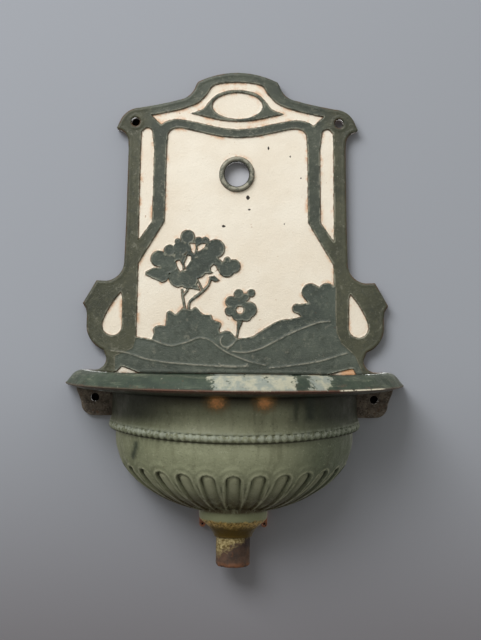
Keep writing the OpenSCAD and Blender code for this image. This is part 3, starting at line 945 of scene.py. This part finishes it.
class Paint:
    """A procedural material, built from small node steps that each return a socket."""

    def __init__(self, name):
        self.material = bpy.data.materials.new(name)
        self.material.use_nodes = True
        self.nodes = self.material.node_tree.nodes
        self.links = self.material.node_tree.links
        self.nodes.clear()
        self.out = self.node("OutputMaterial")
        self.bsdf = self.node("BsdfPrincipled")
        self.links.new(self.bsdf.outputs[0], self.out.inputs["Surface"])
        self.place = self.node("TexCoord").outputs["Object"]
        axes = self.node("SeparateXYZ", {0: self.place})
        # Millimetres, like the shape code.
        self.x, self.y, self.z = [self.times(axis, 1 / MM) for axis in axes.outputs]

    def node(self, kind, inputs=None, **settings):
        """A new node with these settings, and these inputs by name or number."""
        node = self.nodes.new("ShaderNode" + kind)
        for key, value in settings.items():
            setattr(node, key, value)
        for key, value in (inputs or {}).items():
            self.put(node.inputs[key], value)
        return node

    def put(self, socket, value):
        if isinstance(value, bpy.types.NodeSocket):
            self.links.new(value, socket)
        elif socket.type == "RGBA":
            socket.default_value = linear(value)
        else:
            socket.default_value = value

    def maths(self, operation, a, b=0.0):
        return self.node("Math", {0: a, 1: b}, operation=operation).outputs[0]

    def times(self, first, *others):
        for value in others:
            first = self.maths("MULTIPLY", first, value)
        return first

    def plus(self, a, b):
        return self.maths("ADD", a, b)

    def at_least(self, first, *others):
        for value in others:
            first = self.maths("MAXIMUM", first, value)
        return first

    def size(self, value):
        return self.maths("ABSOLUTE", value)

    def distance(self, a, b):
        return self.maths("SQRT", self.plus(self.times(a, a), self.times(b, b)))

    def fade(self, value, low, high, to_low=0.0, to_high=1.0):
        """Smooth step of value between low and high."""
        span = {"Value": value, "From Min": low, "From Max": high, "To Min": to_low, "To Max": to_high}
        return self.node("MapRange", span, interpolation_type="SMOOTHSTEP").outputs[0]

    def fade_out(self, value, low, high):
        return self.fade(value, low, high, 1, 0)

    def between(self, value, low, full, still_full, high):
        """1 from full to still_full, fading to 0 down to low and up to high."""
        return self.times(self.fade(value, low, full), self.fade_out(value, still_full, high))

    def near(self, value, centre, width):
        """1 where value is close to centre, 0 further away than width."""
        return self.fade_out(self.size(self.plus(value, -centre)), 0, width)

    def noise(self, size_mm, seed, detail=4, rough=0.6, stretch=(1, 1, 1)):
        """Noise from 0 to 1 whose features are about size_mm across."""
        shift = (seed * 1.7, seed * 0.9, seed * 2.3)
        moved = self.node("Mapping", {"Vector": self.place, "Location": shift, "Scale": stretch})
        grain = {"Scale": 1 / MM / size_mm, "Detail": detail, "Roughness": rough}
        return self.node("TexNoise", {"Vector": moved.outputs[0], **grain}).outputs["Fac"]

    def spots(self, low, high, *grain):
        """Noise sharpened into patches: 0 where it is below low, 1 where it is above high."""
        return self.fade(self.noise(*grain), low, high)

    def ragged(self, value, reach, *grain):
        """The value moved up and down by noise over the given reach, for uneven edges."""
        return self.plus(value, self.times(self.plus(self.noise(*grain), -0.5), reach))

    def attribute(self, name):
        return self.node("Attribute", attribute_name=name).outputs["Fac"]

    def mix(self, factor, a, b):
        return self.node("Mix", {0: factor, 6: a, 7: b}, data_type="RGBA").outputs[2]

    def coats(self, colour, *coats):
        """The colour under coats of (mask, share, tone), each over the one before."""
        for mask, share, tone in coats:
            colour = self.mix(self.times(mask, share), colour, tone)
        return colour

    def bump(self, height, depth_mm):
        node = self.node("Bump", {"Strength": 1.0, "Distance": depth_mm * MM, "Height": height})
        self.links.new(node.outputs[0], self.bsdf.inputs["Normal"])

    def pitted(self, coarse, fine, depth_mm):
        """Bump of two grains of noise, the finer one half as high."""
        self.bump(self.plus(self.noise(*coarse), self.times(self.noise(*fine), 0.5)), depth_mm)

    def finish(self, colour, roughness, metallic=0.0, specular=0.5):
        self.put(self.bsdf.inputs["Base Color"], colour)
        self.put(self.bsdf.inputs["Roughness"], roughness)
        self.put(self.bsdf.inputs["Metallic"], metallic)
        self.put(self.bsdf.inputs["Specular IOR Level"], specular)
        return self.material


# A grain is (size in mm, seed, detail, roughness, stretch), and colours are sRGB from 0 to 255.

def green_enamel(p, light, mid, dark):
    """Mottled old green paint, from three tones."""
    colour = p.mix(p.spots(0.35, 0.65, 46, 1), dark, mid)
    return p.coats(colour, (p.spots(0.5, 0.72, 7, 2, 5, 0.65), 0.6, light))


def rust_colour(p):
    """Bare cast iron that has rusted evenly, with darker scale and orange blooms."""
    colour = p.mix(p.spots(0.35, 0.65, 18, 31, 5, 0.65), (62, 48, 40), (92, 68, 54))
    blooms = p.spots(0.55, 0.75, 6, 32, 5, 0.7)
    scale = p.spots(0.6, 0.72, 2.5, 33, 3)
    return p.coats(colour, (blooms, 0.7, (132, 84, 52)), (scale, 0.6, (42, 33, 29)))


def cream_enamel(p, paint):
    """Cream paint of the sunk panels, stained near the ribs, with chips down to the iron."""
    colour = p.mix(p.spots(0.35, 0.68, 70, 7, 4, 0.55), (243, 233, 216), (250, 243, 229))
    yellowed = p.spots(0.6, 0.75, 3, 8, 4, 0.7)
    stain = p.times(p.fade(paint, -5.5, -0.3), p.spots(0.47, 0.66, 19, 9, 5, 0.7))
    foot_rust = p.times(p.fade(p.x, 126, 136), p.fade_out(p.z, 38, 44))
    specks = p.spots(0.74, 0.79, 5.5, 10, 2, 0.5)
    chips = p.fade_out(p.ragged(p.attribute("chip"), 0.9, 1.6, 11, 2, 0.5), 1.0, 1.3)
    return p.coats(
        colour,
        (yellowed, 0.25, (214, 202, 180)),
        (stain, 0.7, (222, 164, 112)),
        (foot_rust, 0.75, (228, 164, 108)),
        (specks, 0.7, (172, 128, 92)),
        (chips, 1, (34, 25, 20)))


def rib_enamel(p, paint):
    """Olive ribs and the bluer landscape, worn light on their edges and ridges."""
    land = p.attribute("land")
    ribs = green_enamel(p, (96, 97, 78), (77, 79, 62), (60, 63, 49))
    sunk = green_enamel(p, (102, 109, 98), (76, 85, 77), (58, 67, 62))
    sunk = p.mix(p.fade(p.z, 36, 105, 0.20, 0), sunk, (118, 124, 112))
    inner_ribs = p.fade(p.size(p.x), 98, 122, 0.65, 0)
    colour = p.mix(p.at_least(p.fade(land, -0.5, 1.0), inner_ribs), ribs, sunk)
    wear = p.noise(9, 12, 5, 0.7)
    flecks = p.spots(0.62, 0.70, 3.2, 21, 4, 0.7)
    grime = p.spots(0.52, 0.64, 8, 22, 5, 0.7)
    lip = p.times(p.near(paint, 1.3, 1.6), p.fade(wear, 0.42, 0.58))
    seam = p.times(p.near(land, -0.6, 1.0), p.spots(0.40, 0.58, 8, 19, 4, 0.7))
    scuffs = p.spots(0.57, 0.66, 11, 20, 6, 0.78)
    ridge = p.times(p.near(p.attribute("line"), 0.0, 1.4), p.fade(wear, 0.38, 0.58, 0.15, 0.95))
    bare_edge = p.times(p.fade_out(p.attribute("rim"), 0.2, 2.6), p.spots(0.42, 0.6, 11, 13))
    rust_spots = p.spots(0.70, 0.76, 3.4, 14, 3)
    return p.coats(
        colour,
        (flecks, 0.42, (146, 148, 134)),
        (grime, 0.45, (50, 56, 48)),
        (lip, 0.75, (150, 150, 134)),
        (seam, 0.55, (150, 146, 130)),
        (scuffs, 0.5, (136, 136, 122)),
        (ridge, 1, (158, 156, 142)),
        (bare_edge, 0.8, (88, 62, 44)),
        (rust_spots, 0.7, (92, 66, 48)))


def plate_material():
    """Cream panels and green relief with a rusty border between them, bare iron behind."""
    p = Paint("plate_paint")
    paint = p.ragged(p.attribute("paint"), 1.1, 4, 5, 3)
    colour = p.mix(p.fade(paint, -0.25, 0.25), cream_enamel(p, paint), rib_enamel(p, paint))
    border = p.times(p.near(paint, -0.1, 0.8), p.spots(0.42, 0.56, 9, 15, 5, 0.7))
    back = p.fade(p.y, -8.5, -6.8)
    from_tap = p.distance(p.x, p.plus(p.z, -TAP_Z))
    # Painted shade: the tap hole's bore is near black.
    bore = p.fade_out(from_tap, TAP_R + 0.3, TAP_R + 1.3)
    colour = p.coats(
        colour,
        (border, 0.8, (118, 74, 46)),
        (back, 1, rust_colour(p)),
        (bore, 1, (22, 20, 17)))
    rough = p.fade(p.noise(12, 16), 0.3, 0.7, 0.38, 0.56)
    rough = p.at_least(rough, p.times(p.at_least(border, back), 0.8))
    p.pitted((2.2, 17, 5), (0.7, 18, 3), 0.45)
    return p.finish(colour, rough)


def basin_green(p, flute):
    """Moss-green paint of the bowl, yellower on the left, darker to the right and lower down; the side
    darkening is partly painted shade, and the flutes carry painted shade in their creases and a painted
    highlight on their tongues.
    """
    colour = green_enamel(p, (160, 165, 138), (142, 147, 121), (119, 125, 100))
    # The tint lightens the middle and darkens both sides: partly the paint's own tone, partly painted shade
    # where the bowl turns away from the light.
    tint = p.mix(p.fade(p.x, -120, -40), (104, 108, 80), (164, 167, 138))
    tint = p.mix(p.fade(p.x, 50, 130), tint, (86, 104, 88))
    streaks = p.spots(0.50, 0.72, 16, 41, 4, 0.6, (1, 1, 0.18))
    grime = p.times(p.fade_out(p.z, -140, -84), p.spots(0.25, 0.65, 22, 42, 5))
    # Painted shade: near black just inside each flute's edge and in the valleys between the flutes.
    crevice_shade = p.times(p.near(flute, 1.3, 1.7), p.fade(p.z, -102, -89, 0.25, 0.8))
    valley_shade = p.times(p.near(flute, -4.6, 1.3), p.fade(p.z, -101, -92, 0.5, 0))
    # Painted highlight on the upper part of each flute's tongue, where it faces the light.
    tongue_highlight = p.times(p.fade(flute, 2.6, 4.6), p.fade(p.z, -112, -98))
    foot = p.between(p.z, -141, -138, -126, -100)
    brown = p.times(foot, p.spots(0.24, 0.54, 9, 68, 5, 0.7))
    shade = p.times(p.fade(p.x, 0, 90), p.fade_out(p.z, -112, -84))
    # Darker, bluer green to the right: partly the paint's own tone, partly painted shade.
    right_side = p.fade(p.x, 25, 150)
    grain = p.spots(0.56, 0.66, 3.4, 69, 5, 0.8)
    pores = p.spots(0.57, 0.67, 3.2, 70, 5, 0.8)
    crests = p.times(p.near(flute, -2.2, 2.0), p.spots(0.34, 0.56, 7, 43))
    return p.coats(
        p.mix(0.45, colour, tint),
        (streaks, 0.4, (84, 84, 60)),
        (grime, 0.35, (104, 96, 62)),
        (p.at_least(crevice_shade, valley_shade), 1, (38, 38, 24)),
        (tongue_highlight, 0.7, (168, 170, 142)),
        (brown, 0.9, (62, 48, 14)),
        (shade, 0.4, (44, 44, 26)),
        (right_side, 0.55, (56, 68, 52)),
        (grain, 0.42, (182, 186, 162)),
        (pores, 0.5, (54, 60, 42)),
        (crests, 0.7, (176, 178, 150)))


def bead_paint(p, colour):
    """Chalky beads over a dark line of painted shade in the groove below them; the band sweeps up towards
    the wall.
    """
    level = p.plus(p.z, p.times(p.x, p.x, -SWEEP / WALL_R ** 2))
    chalk = p.times(p.near(level, -37, 7.5), p.spots(0.38, 0.56, 5, 56, 5, 0.7))
    # Painted shade: a dark line in the groove under the beads.
    groove_shade = p.near(level, -44.2, 2.0)
    return p.coats(colour, (chalk, 0.75, (178, 186, 172)), (groove_shade, 0.85, (34, 30, 18)))


def neck_paint(p, colour):
    """Pale collar, with moss that thickens down the bell."""
    edge = p.ragged(p.z, 9, 7, 45)
    moss = p.mix(p.spots(0.38, 0.62, 3, 44, 4, 0.7), (98, 78, 26), (204, 172, 104))
    moss = p.mix(p.fade_out(edge, -158, -151), moss, (76, 58, 2))
    collar = p.fade_out(p.z, -138, -134)
    return p.coats(colour, (collar, 0.85, (136, 142, 110)), (p.fade_out(edge, -148, -144.5), 1, moss))


def painted_shade_under_rim(p, colour, outer):
    """Painted shade under the rim, darkest right under it and at both sides."""
    # Painted shade: dark below the rim, near black on the soffit, and darker at both sides of the upper
    # wall.
    under_rim = p.between(p.z, -10, 9, 17, 19)
    soffit = p.times(p.between(p.z, 4, 9, 16.2, 17.4), outer)
    sides = p.times(p.fade(p.size(p.x), 45, 120), p.fade(p.z, -34, -14))
    return p.coats(
        colour,
        (under_rim, 0.92, (36, 27, 3)),
        (soffit, 0.85, (10, 8, 2)),
        (sides, 0.88, (30, 36, 22)))


def rust_bloom(p, colour, at_x):
    """An orange bloom on the upper wall."""
    reach = p.distance(p.plus(p.x, -at_x), p.times(p.plus(p.z, -2.6), 1.3))
    reach = p.ragged(reach, 20, 3, 59, 5, 0.75)
    return p.coats(
        colour,
        (p.fade_out(reach, 6, 20), 0.6, (140, 108, 60)),
        (p.fade_out(reach, 1, 12), 1, (232, 166, 106)))


def drips(p, colour):
    """Two dark runs below the rim on the right, and a slanted one above the flutes on the left."""
    wavy = p.ragged(p.x, 8, 9, 60)
    right = p.at_least(p.near(wavy, 89, 10), p.times(p.near(wavy, 72, 5), 0.7))
    right = p.times(right, p.fade(p.ragged(p.z, 10, 6, 71, 3), -23, -13))
    slanted = p.ragged(p.plus(p.x, p.times(p.z, -0.25)), 6, 8, 65, 3, 0.5)
    left = p.times(p.between(p.z, -74, -66, -50, -44), p.near(slanted, -103.5, 6))
    return p.coats(colour, (p.at_least(right, left), 0.85, (32, 44, 32)))


def rim_paint(p, colour, outer):
    """Darker rim with patches worn down to the white undercoat, and a rusted lip."""
    rim = p.fade(p.z, 18.6, 20.2)
    dull = p.mix(p.spots(0.35, 0.65, 24, 46), (42, 56, 47), (60, 74, 61))
    side = p.ragged(p.x, 34, 9, 47, 5, 0.7)
    big = p.between(side, -29, -24, 66, 71)
    small = p.between(side, 84, 88, 106, 111)
    left_on = p.fade_out(p.noise(10, 48, 5, 0.7), 0.60, 0.68)
    worn = p.times(p.at_least(big, small), left_on)
    undercoat = p.mix(p.spots(0.4, 0.6, 12, 57), (142, 150, 143), (176, 176, 158))
    smears = p.times(p.spots(0.56, 0.68, 5, 76, 5, 0.7, (0.35, 0.35, 1)), p.fade(p.z, 21, 29, 1, 0.15))
    streaks = p.spots(0.54, 0.66, 5, 75, 4, 0.65, (0.12, 0.12, 1.4))
    flecks = p.spots(0.66, 0.71, 4, 58)
    along_lip = p.between(p.x, -120, -80, 120, 140)
    rusty = p.times(p.near(p.z, 18.0, 3.6), p.spots(0.28, 0.48, 8, 49, 5, 0.7),
                    p.plus(p.times(along_lip, 0.9), 0.5), outer)
    chips = p.times(p.near(p.z, 19.2, 1.6), p.spots(0.36, 0.46, 7, 50, 3),
                    p.between(p.x, 118, 124, 172, 180), outer)
    return p.coats(
        colour,
        (rim, 1, dull),
        (p.times(worn, rim), 1, undercoat),
        (p.times(smears, rim), 0.6, (96, 76, 62)),
        (p.times(streaks, rim), 0.35, (122, 130, 110)),
        (p.times(flecks, rim), 0.7, (160, 160, 144)),
        (rusty, 1, (86, 52, 38)),
        (chips, 1, (225, 218, 198)))


def basin_material():
    """Worn paint outside, stained and rusted iron inside and behind."""
    p = Paint("basin_paint")
    outer = p.attribute("outer")
    colour = neck_paint(p, bead_paint(p, basin_green(p, p.attribute("flute"))))
    colour = painted_shade_under_rim(p, colour, outer)
    for at_x in (-20, 35):
        colour = rust_bloom(p, colour, at_x)
    colour = rim_paint(p, drips(p, colour), outer)
    specks = p.spots(0.70, 0.75, 4.2, 51, 3)
    back = p.fade(p.y, -0.8, -0.3)
    inside = p.times(p.fade_out(outer, 0.9, 0.99), p.fade_out(p.z, 10, 16))
    rust = rust_colour(p)
    stained = p.mix(p.spots(0.35, 0.65, 26, 52, 5), (96, 98, 82), (74, 68, 52))
    stained = p.mix(p.fade(p.z, -132, -60, 0.75, 0.2), stained, rust)
    colour = p.coats(colour, (specks, 0.65, (104, 74, 50)), (inside, 1, stained), (back, 1, rust))
    rough = p.fade(p.noise(14, 53), 0.3, 0.7, 0.36, 0.58)
    rough = p.at_least(rough, p.times(p.at_least(inside, back, specks), 0.75))
    p.pitted((2.6, 54, 5), (0.8, 55, 3), 0.5)
    return p.finish(colour, rough, specular=0.35)


def iron_finish(p, colour, depth_mm):
    """Rough, pitted iron."""
    p.pitted((3, 62, 6, 0.65), (1.0, 63), depth_mm)
    return p.finish(colour, p.fade(p.noise(7, 64), 0.3, 0.7, 0.62, 0.88), 0.1)


def pipe_material():
    """Rusty pipe with moss that has run down its left side and fresh rust round its end."""
    p = Paint("rusty_iron")
    # Painted shadow: dark on the pipe's right side below the neck.
    dark = p.times(p.fade(p.x, 2, 16), p.fade(p.z, -186, -176))
    moss = p.mix(p.spots(0.40, 0.62, 2.6, 66, 4, 0.7), (104, 88, 44), (186, 170, 124))
    slanted = p.ragged(p.plus(p.z, p.times(p.x, -0.6)), 30, 7, 61, 5, 0.75)
    mossy = p.times(p.fade(slanted, -183, -173), p.fade_out(p.y, -36, -28))
    fresh = p.times(p.fade_out(p.z, -204, -197), p.spots(0.35, 0.6, 5, 67))
    colour = p.coats(rust_colour(p), (dark, 1, (48, 32, 30)), (mossy, 1, moss), (fresh, 0.6, (150, 96, 62)))
    return iron_finish(p, colour, 0.5)


def casting_material():
    """Grey-brown bare casting with a grainy skin."""
    p = Paint("casting_rust")
    colour = p.mix(p.spots(0.38, 0.62, 9, 35, 5, 0.7), (76, 68, 60), (116, 106, 94))
    colour = p.coats(
        colour,
        (p.spots(0.56, 0.70, 4, 36, 4, 0.65), 0.7, (104, 70, 48)),
        (p.spots(0.56, 0.66, 2.2, 37, 3), 0.7, (36, 30, 26)),
        (p.spots(0.58, 0.64, 1.8, 34, 3, 0.7), 0.6, (156, 146, 132)))
    return iron_finish(p, colour, 0.7)


def lug_material():
    """Fresh orange rust of the neck's small lugs."""
    p = Paint("lug_rust")
    colour = p.mix(p.spots(0.38, 0.62, 5, 38, 5, 0.7), (128, 84, 66), (176, 120, 92))
    colour = p.mix(p.spots(0.58, 0.70, 2.4, 39, 3), colour, (70, 48, 40))
    return iron_finish(p, colour, 0.5)


def brass_material():
    """Dull brass with some verdigris."""
    p = Paint("strainer_brass")
    colour = p.mix(p.spots(0.35, 0.65, 6, 71, 5), (122, 98, 58), (92, 74, 48))
    colour = p.coats(colour, (p.spots(0.55, 0.7, 3, 72, 5), 0.6, (92, 112, 92)))
    p.bump(p.noise(1.5, 73, 5), 0.15)
    return p.finish(colour, p.fade(p.noise(4, 74), 0.3, 0.7, 0.35, 0.6), 0.75)


def steel_material():
    """Steel that has begun to rust."""
    p = Paint("fastener_steel")
    colour = p.mix(p.spots(0.4, 0.6, 5, 81, 5, 0.65), (96, 88, 80), (84, 60, 44))
    p.bump(p.noise(1.2, 82, 5), 0.2)
    return p.finish(colour, p.fade(p.noise(4, 83), 0.3, 0.7, 0.5, 0.8), 0.6)


# ---------------------------------------------------------------- object

plate_paint = plate_material()
basin_paint = basin_material()
casting_rust = casting_material()

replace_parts(build_plate(plate_paint), "back_plate")
build_tap_ring(plate_paint)
build_plate_lugs(casting_rust)
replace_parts(build_bowl(basin_paint), "basin")
build_neck(basin_paint)
build_ears(casting_rust)
build_neck_lugs(lug_material())
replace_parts(build_pipe(pipe_material()), "drain_pipe")

kept = {"drain_strainer": brass_material(), "plate_bolts": steel_material()}
kept["plate_washers"] = kept["plate_nuts"] = kept["plate_bolts"]
for node, material in kept.items():
    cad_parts[node].data.materials.clear()
    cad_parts[node].data.materials.append(material)


# ---------------------------------------------------------------- studio

GROUND_Z = -0.62    # these are in metres
WALL_Y = 0.002
STAGE_HALF_W = 4.0


def studio_material(name, colour, lower=None):
    """Matte sheet that only the camera sees, and only from its front, so it never hides the object."""
    p = Paint(name)
    # Where lower is given, the sheet darkens towards the bottom as painted shade.
    p.finish(p.mix(p.fade(p.z, -500, 100), lower or colour, colour), 0.9, specular=0.1)
    seen = p.node("LightPath").outputs["Is Camera Ray"]
    behind = p.node("NewGeometry").outputs["Backfacing"]
    shown = p.times(seen, p.maths("SUBTRACT", 1.0, behind))
    clear = p.node("BsdfTransparent").outputs[0]
    blend = p.node("MixShader", {0: shown, 1: clear, 2: p.bsdf.outputs[0]})
    p.links.new(blend.outputs[0], p.out.inputs["Surface"])
    return p.material


def sheet(name, corners, material):
    mesh = bpy.data.meshes.new(name)
    mesh.from_pydata(corners, [], [tuple(range(len(corners)))])
    mesh.materials.append(material)
    obj = bpy.data.objects.new(name, mesh)
    bpy.context.scene.collection.objects.link(obj)


def wall_disc(name, x, z, r, material):
    """A disc just in front of the wall, for what shows through a hole; sizes in millimetres."""
    sheet(name, [(a * MM, WALL_Y / 2, b * MM) for a, b in circle(x, z, r)], material)


def build_stage():
    """Plain floor and wall, with dark discs behind the holes that the photograph shows dark."""
    w = STAGE_HALF_W
    sheet("floor", [(-w, -5, GROUND_Z), (w, -5, GROUND_Z), (w, WALL_Y, GROUND_Z), (-w, WALL_Y, GROUND_Z)],
          studio_material("floor_grey", (188, 190, 194)))
    # Painted shade: the wall darkens towards the floor.
    sheet("wall", [(-w, WALL_Y, GROUND_Z), (w, WALL_Y, GROUND_Z), (w, WALL_Y, 3), (-w, WALL_Y, 3)],
          studio_material("wall_grey", (163, 168, 178), (114, 110, 114)))
    # Dark discs of painted shade behind the ears' holes, the neck lugs' holes and the plate's left hole.
    dark = studio_material("hole_shade", (14, 12, 10))
    ears = [(side * EAR_X, 0, 7.5) for side in (-1, 1)]
    neck_lugs = [(side * NECK_LUG_X, NECK_LUG_Z, 3) for side in (-1, 1)]
    for number, hole in enumerate(ears + neck_lugs + [(*PLATE_HOLES[0], 8)]):
        wall_disc("wall_hole_%d" % number, *hole, dark)
    wall_disc("wall_behind_tap", 0, TAP_Z, 19, studio_material("wall_lit", (208, 211, 220)))


def area_light(name, place, target, size, power, colour=(1, 1, 1)):
    data = bpy.data.lights.new(name, "AREA")
    data.shape = "RECTANGLE"
    data.size, data.size_y = size
    data.energy = power
    data.color = colour
    obj = bpy.data.objects.new(name, data)
    obj.location = place
    obj.rotation_euler = (Vector(target) - Vector(place)).to_track_quat("-Z", "Y").to_euler()
    bpy.context.scene.collection.objects.link(obj)


def sky(below, above):
    """World light that grows from the ground upwards, so that undersides stay dark."""
    world = bpy.data.worlds.new("studio")
    world.use_nodes = True
    tree = world.node_tree
    axes = tree.nodes.new("ShaderNodeSeparateXYZ")
    tree.links.new(tree.nodes.new("ShaderNodeTexCoord").outputs["Generated"], axes.inputs[0])
    level = tree.nodes.new("ShaderNodeMapRange")
    tree.links.new(axes.outputs[2], level.inputs["Value"])
    for key, value in {"From Min": -0.5, "From Max": 0.9, "To Min": below, "To Max": above}.items():
        level.inputs[key].default_value = value
    tree.nodes["Background"].inputs[0].default_value = (0.96, 0.93, 0.85, 1)
    tree.links.new(level.outputs[0], tree.nodes["Background"].inputs[1])
    return world


def build_camera():
    """The photograph's view: level, from 1.76 m in front of the wall."""
    data = bpy.data.cameras.new("camera")
    data.sensor_fit = "AUTO"
    data.sensor_width = 36
    data.lens = 78.75
    camera = bpy.data.objects.new("camera", data)
    camera.location = (0.0064, -1.76, 0.0985)
    camera.rotation_euler = (math.radians(90), math.radians(-0.6), 0)
    bpy.context.scene.collection.objects.link(camera)
    return camera


build_stage()
area_light("key", (-1.20, -2.20, 1.95), (0.0, 0.0, 0.05), (1.8, 1.4), 70, (1.0, 0.99, 0.97))
area_light("rear", (0.0, 1.8, 0.1), (0.0, 0.0, 0.1), (0.8, 0.8), 16)
bpy.context.scene.world = sky(0.20, 0.80)
bpy.context.scene.view_settings.view_transform = "Standard"
bpy.context.scene.camera = build_camera()
